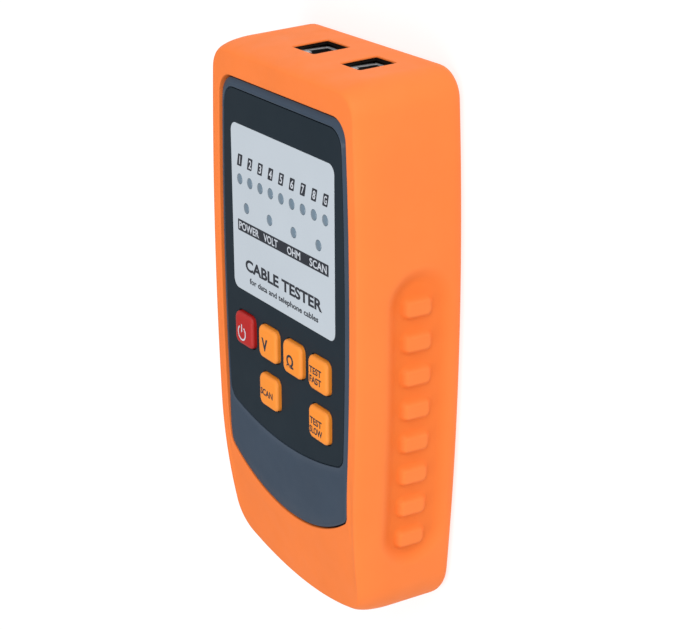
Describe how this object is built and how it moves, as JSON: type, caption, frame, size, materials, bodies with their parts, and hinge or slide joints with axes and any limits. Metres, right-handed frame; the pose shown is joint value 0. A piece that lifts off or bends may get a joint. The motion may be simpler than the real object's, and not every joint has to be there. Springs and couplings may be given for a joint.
{
  "type": "handheld cable tester",
  "caption": "Handheld cable tester in a rubber boot, with push keys, an LED label and two modular jacks in its top end, made as separate pieces.",
  "frame": {"origin": "on the surface that the tester lies on, under the middle of its bounding box", "axes": "+Z out of the face with the keys and LEDs, +Y along the tester towards the end with the two jacks, +X to the right as the face is read"},
  "size_m": [0.0842, 0.1626, 0.0349],
  "materials": {
    "boot_rubber": "satin moulded silicone",
    "case_plastic": "fine moulded texture",
    "overlay": "satin printed film",
    "label": "satin printed film",
    "key_red": "satin",
    "key_orange": "satin",
    "carbon": "matt",
    "keypad_rubber": "matt",
    "circuit_board": "solder resist",
    "black_plastic": "moulded",
    "led_lens": "tinted, unlit",
    "plated_steel": "tin plated",
    "gold_contact": "gold plated",
    "capacitor_sleeve": "heat-shrink sleeve",
    "fuse_resin": "dipped resin",
    "battery_can": "printed metal can",
    "foam": "closed-cell foam",
    "red_wire": "insulated wire",
    "screw_steel": "zinc plated"
  },
  "bodies": {
    "tester": {"battery": "battery_can", "battery_lead_black": "black_plastic", "battery_lead_red": "red_wire", "battery_pad": "foam", "battery_snap": "black_plastic", "board_screw_1": "screw_steel", "board_screw_2": "screw_steel", "board_screw_3": "screw_steel", "board_screw_4": "screw_steel", "capacitor": "capacitor_sleeve", "case_screw_1": "screw_steel", "case_screw_2": "screw_steel", "case_screw_3": "screw_steel", "case_screw_4": "screw_steel", "controller_chip": "black_plastic", "crystal": "plated_steel", "driver_chip": "black_plastic", "face_overlay": "overlay", "front_case": "case_plastic", "keypad_mat": "keypad_rubber", "label_plate": "label", "led_1": "led_lens", "led_2": "led_lens", "led_3": "led_lens", "led_4": "led_lens", "led_5": "led_lens", "led_6": "led_lens", "led_7": "led_lens", "led_8": "led_lens", "led_g": "led_lens", "led_holder": "black_plastic", "led_ohm": "led_lens", "led_power": "led_lens", "led_scan": "led_lens", "led_volt": "led_lens", "main_board": "circuit_board", "rear_case": "case_plastic", "resettable_fuse": "fuse_resin", "rj11_contacts": "gold_contact", "rj11_insert": "black_plastic", "rj11_shell": "plated_steel", "rj45_contacts": "gold_contact", "rj45_insert": "black_plastic", "rj45_shell": "plated_steel", "rubber_boot": "boot_rubber"},
    "key_power": {"key_power": "key_red", "pill_power": "carbon"},
    "key_volt": {"key_volt": "key_orange", "pill_volt": "carbon"},
    "key_ohm": {"key_ohm": "key_orange", "pill_ohm": "carbon"},
    "key_test_fast": {"key_test_fast": "key_orange", "pill_test_fast": "carbon"},
    "key_scan": {"key_scan": "key_orange", "pill_scan": "carbon"},
    "key_test_slow": {"key_test_slow": "key_orange", "pill_test_slow": "carbon"},
    "cover": {"battery_cover": "case_plastic"}
  },
  "joints": [
    {"name": "press_power", "type": "slide", "parent": "tester", "child": "key_power", "axis": [0, 0, -1], "range_m": [0, 0.0011], "stiffness_N_per_m": 600},
    {"name": "press_volt", "type": "slide", "parent": "tester", "child": "key_volt", "axis": [0, 0, -1], "range_m": [0, 0.0011], "stiffness_N_per_m": 600},
    {"name": "press_ohm", "type": "slide", "parent": "tester", "child": "key_ohm", "axis": [0, 0, -1], "range_m": [0, 0.0011], "stiffness_N_per_m": 600},
    {"name": "press_test_fast", "type": "slide", "parent": "tester", "child": "key_test_fast", "axis": [0, 0, -1], "range_m": [0, 0.0011], "stiffness_N_per_m": 600},
    {"name": "press_scan", "type": "slide", "parent": "tester", "child": "key_scan", "axis": [0, 0, -1], "range_m": [0, 0.0011], "stiffness_N_per_m": 600},
    {"name": "press_test_slow", "type": "slide", "parent": "tester", "child": "key_test_slow", "axis": [0, 0, -1], "range_m": [0, 0.0011], "stiffness_N_per_m": 600},
    {"name": "cover_hinge", "type": "hinge", "parent": "tester", "child": "cover", "pos_m": [0, -0.064, 0.0032], "axis": [-1, 0, 0], "range_deg": [0, 60]}
  ]
}
